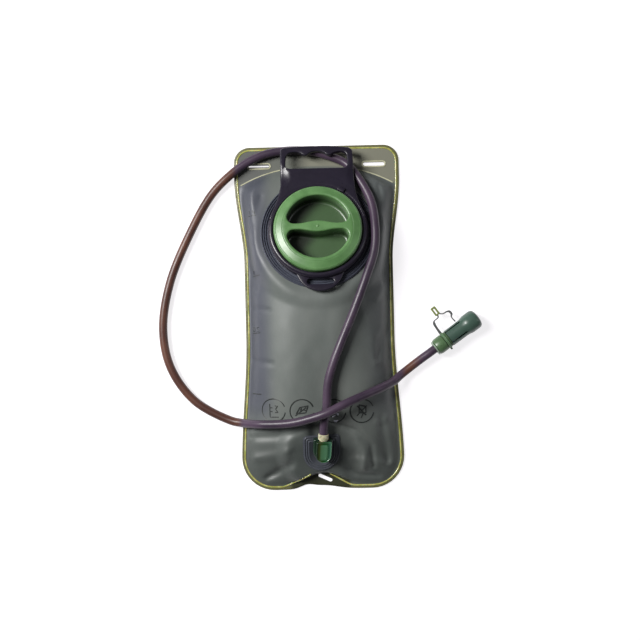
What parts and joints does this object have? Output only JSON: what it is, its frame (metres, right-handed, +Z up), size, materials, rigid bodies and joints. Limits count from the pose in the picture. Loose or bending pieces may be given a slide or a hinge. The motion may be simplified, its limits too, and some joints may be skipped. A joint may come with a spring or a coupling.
{
  "type": "hydration bladder",
  "caption": "Film water bladder lying flat, with a screw cap in a handled collar, a push-button hose port, a drinking hose and a bite valve under a dust cover.",
  "frame": {"origin": "middle of the underside of the bag, which lies on its back; the hose and valve are left out of that middle", "axes": "+Z up out of the film that carries the cap, +Y towards the handle, +X towards the bite valve"},
  "size_m": [0.3458, 0.37, 0.0529],
  "materials": {
    "film": "satin translucent olive-grey film, slightly cloudy",
    "flange": "satin dark grey-blue moulding",
    "collar": "satin dark navy moulding",
    "cap": "satin mid green moulding",
    "gasket": "matt pale silicone",
    "port": "glossy dark green moulding",
    "button": "polished dark green",
    "plug": "ivory moulding",
    "rubber": "matt black rubber",
    "steel": "bright spring wire",
    "hose": "translucent smoky brown tube",
    "valve": "satin grey-green moulding",
    "cover": "satin dark grey-green moulding",
    "tether": "satin translucent yellow-green strap",
    "silicone": "matt translucent silicone"
  },
  "bodies": {
    "bag": {"back_panel": "film", "front_panel": "film", "neck_flange": "flange", "handle_collar": "collar", "port_flange": "flange", "port_housing": "port", "button_spring": "steel", "port_poppet": "plug", "poppet_spring": "steel", "hose_plug": "plug", "plug_o_ring": "rubber", "hose": "hose", "valve_body": "valve", "valve_o_ring": "rubber", "mouthpiece": "silicone", "cover_tether": "tether"},
    "cap_seal": {"cap_gasket": "gasket"},
    "cap": {"cap_shell": "cap"},
    "button": {"release_button": "button"},
    "shutoff": {"shutoff_sleeve": "valve"},
    "cover": {"dust_cover": "cover"}
  },
  "joints": [
    {"name": "cap_lift", "type": "slide", "parent": "bag", "child": "cap_seal", "axis": [0, 0.225, 0.9744], "range_m": [0, 0.009]},
    {"name": "cap_turn", "type": "hinge", "parent": "cap_seal", "child": "cap", "pos_m": [0, 0.089, 0.025], "axis": [0, 0.225, 0.9744], "range_deg": [0, 540]},
    {"name": "button_press", "type": "slide", "parent": "bag", "child": "button", "axis": [-0.1392, 0.2396, -0.9609], "range_m": [0, 0.0015], "stiffness_N_per_m": 300, "deforming": ["button_spring"]},
    {"name": "shutoff_turn", "type": "hinge", "parent": "bag", "child": "shutoff", "pos_m": [0.1222, -0.0363, 0.0109], "axis": [0.8141, 0.5807, 0], "range_deg": [0, 90]},
    {"name": "cover_pull", "type": "slide", "parent": "bag", "child": "cover", "axis": [0.8141, 0.5807, 0], "range_m": [0, 0.034], "deforming": ["cover_tether"]}
  ],
  "couplings": [
    {"joint": "cap_lift", "follows": "cap_turn", "m_per_rad": 0.00095493}
  ]
}
